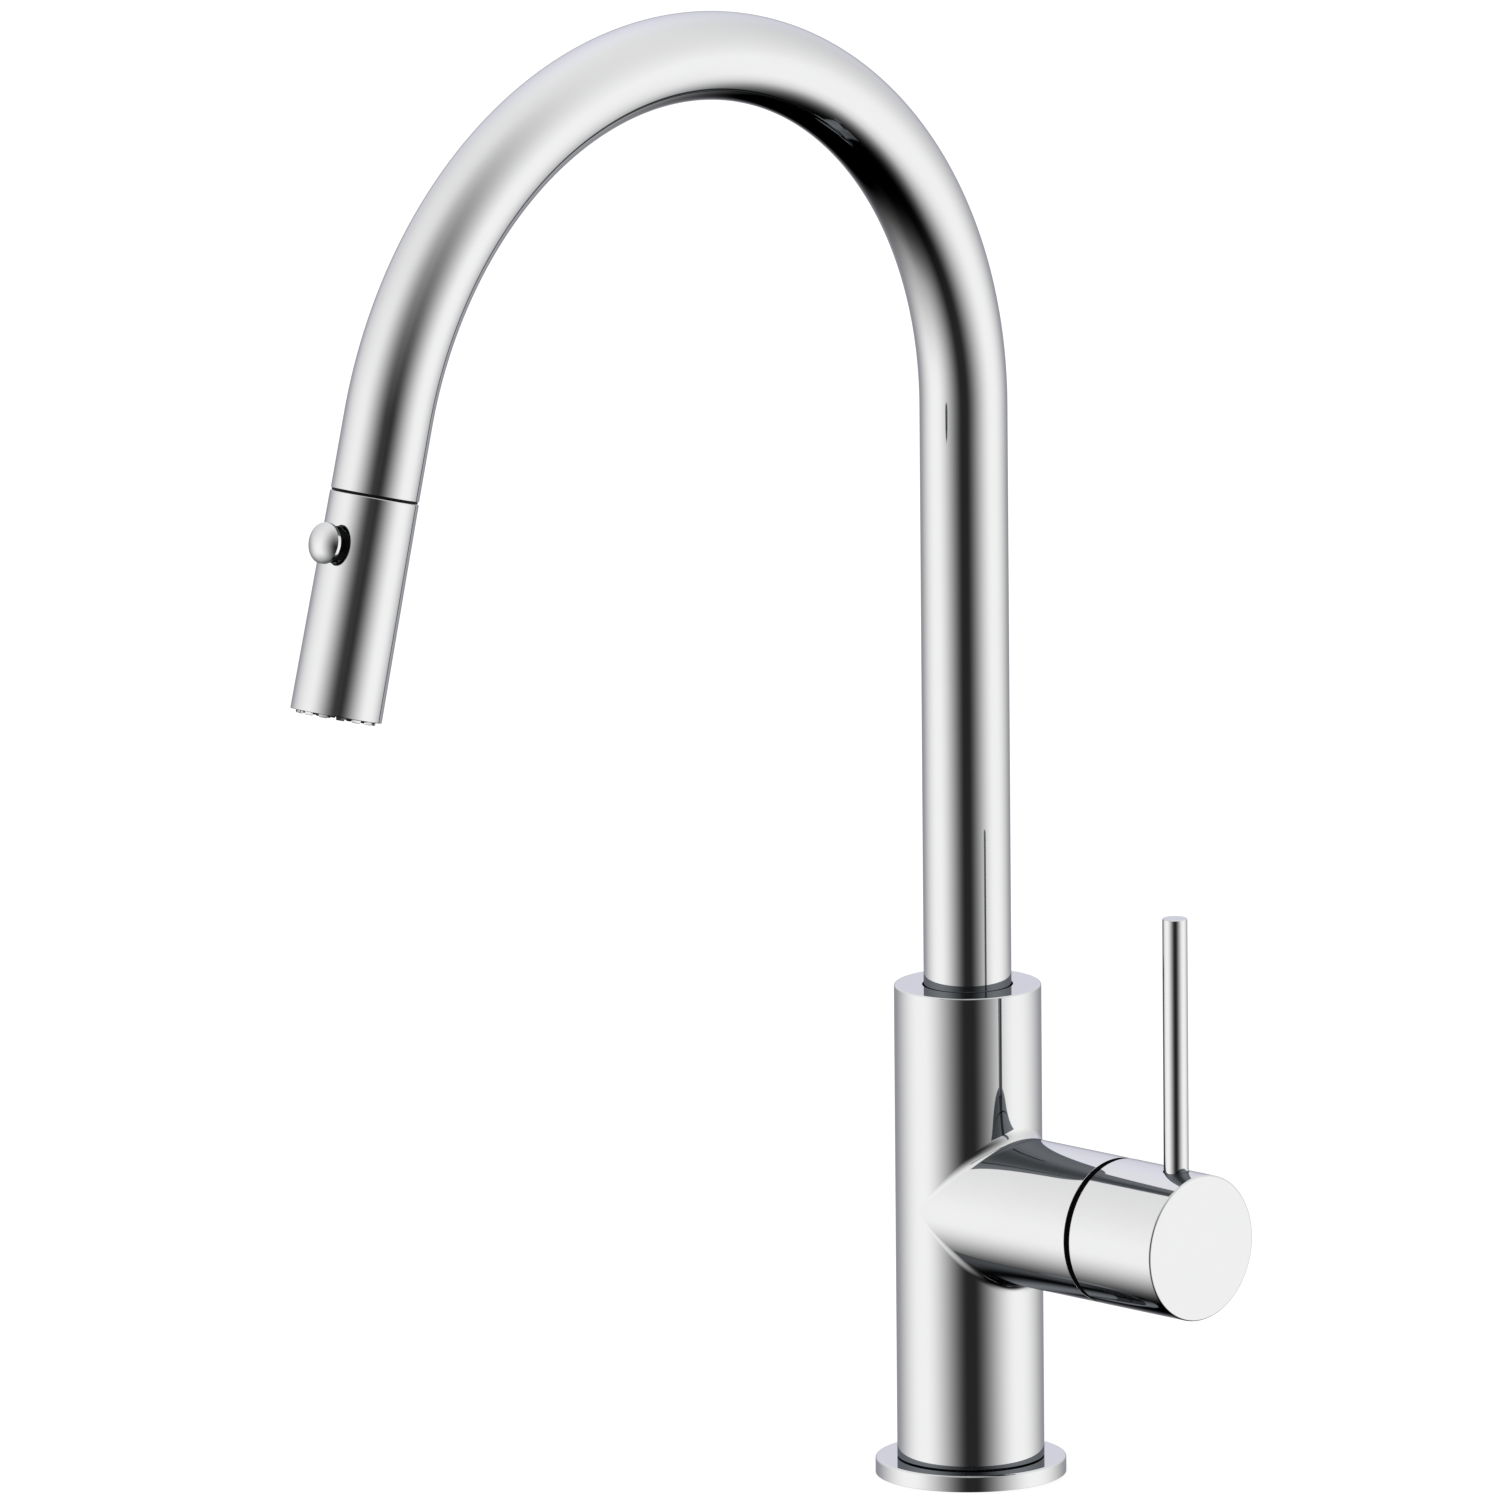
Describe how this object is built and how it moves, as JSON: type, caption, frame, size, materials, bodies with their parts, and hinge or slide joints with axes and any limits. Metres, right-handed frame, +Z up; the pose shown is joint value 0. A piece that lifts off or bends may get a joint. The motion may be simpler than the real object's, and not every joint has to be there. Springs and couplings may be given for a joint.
{
  "type": "pull down kitchen faucet",
  "caption": "Single lever kitchen faucet with a swivelling gooseneck spout, a pull down spray head with a diverter knob, and a side branch with a pin lever.",
  "frame": {"origin": "centre of the flange's underside, on the deck plane and on the column's axis", "axes": "+Z up along the column, -Y towards the spout's outlet, +X along the side branch towards the lever"},
  "size_m": [0.1337, 0.3247, 0.5807],
  "materials": {
    "chrome": "mirror polished chrome plate",
    "black_plastic": "black acetal, satin",
    "grey_plastic": "moulded cartridge plastic",
    "rubber": "moulded black rubber",
    "brass": "turned brass, unplated",
    "copper": "drawn copper tube",
    "steel": "turned stainless steel",
    "ceramic": "lapped alumina",
    "hose_braid": "grey braided nylon over a tube"
  },
  "bodies": {
    "body": {"base_flange": "chrome", "deck_gasket": "rubber", "body_casting": "chrome", "mounting_shank": "brass", "hot_tail": "copper", "cold_tail": "copper", "outlet_tail": "copper", "cartridge_shell": "grey_plastic", "base_seals": "rubber", "fixed_disc": "ceramic", "cartridge_nut": "brass", "dome_cover": "black_plastic", "top_bush": "black_plastic", "thrust_washer": "black_plastic", "retaining_ring": "steel"},
    "deck_clamp": {"clamp_gasket": "rubber", "clamp_washer": "steel", "mounting_nut": "brass"},
    "spout": {"spout_tube": "chrome", "spout_sleeve": "brass", "sleeve_o_rings": "rubber", "dock_collar": "black_plastic", "dock_magnet": "steel", "pull_hose": "hose_braid", "hose_plug": "brass"},
    "hose_end": {"hose_ferrule": "steel", "hose_stem": "brass"},
    "spray_head": {"head_shell": "chrome", "waterway_body": "black_plastic", "diverter_gland": "black_plastic", "diverter_spring": "steel", "swivel_nut": "brass", "hose_washer": "rubber", "check_valve": "grey_plastic", "magnet_plate": "steel", "spray_plate": "rubber", "face_ring": "chrome", "aerator_insert": "steel"},
    "diverter": {"diverter_knob": "chrome", "diverter_spool": "brass", "spool_o_rings": "rubber"},
    "lever_turn": {"spindle_carrier": "black_plastic", "pivot_pin": "steel"},
    "lever": {"lever_spindle": "steel", "handle_cap": "chrome", "lever_pin": "chrome", "handle_grub_screw": "steel", "screw_plug": "chrome"},
    "cartridge_disc": {"moving_disc": "ceramic", "disc_driver": "grey_plastic"}
  },
  "joints": [
    {"name": "spout_swivel", "type": "hinge", "parent": "body", "child": "spout", "pos_m": [0, 0, 0.14], "axis": [0, 0, 1], "continuous": true},
    {"name": "wand_pull", "type": "slide", "parent": "spout", "child": "hose_end", "axis": [0, -0.258, -0.9662], "range_m": [0, 0.25], "stiffness_N_per_m": 4, "springref_m": -1},
    {"name": "wand_turn", "type": "hinge", "parent": "hose_end", "child": "spray_head", "pos_m": [0, -0.26322, 0.35404], "axis": [0, -0.258, -0.9662], "continuous": true},
    {"name": "diverter_press", "type": "slide", "parent": "spray_head", "child": "diverter", "axis": [0, 0.9662, -0.258], "range_m": [0, 0.003], "stiffness_N_per_m": 250, "springref_m": -0.002, "deforming": ["diverter_spring"]},
    {"name": "temperature_turn", "type": "hinge", "parent": "body", "child": "lever_turn", "pos_m": [0.049, 0, 0.0888], "axis": [1, 0, 0], "range_deg": [-45, 45]},
    {"name": "flow_tilt", "type": "hinge", "parent": "lever_turn", "child": "lever", "pos_m": [0.049, 0, 0.0888], "axis": [0, 1, 0], "range_deg": [0, 20]},
    {"name": "disc_slide", "type": "slide", "parent": "lever_turn", "child": "cartridge_disc", "axis": [0, 0, 1], "range_m": [0, 0.0046]},
    {"name": "clamp_travel", "type": "slide", "parent": "body", "child": "deck_clamp", "axis": [0, 0, -1], "range_m": [0, 0.07]}
  ],
  "couplings": [
    {"joint": "disc_slide", "follows": "flow_tilt", "m_per_rad": 0.01274}
  ]
}
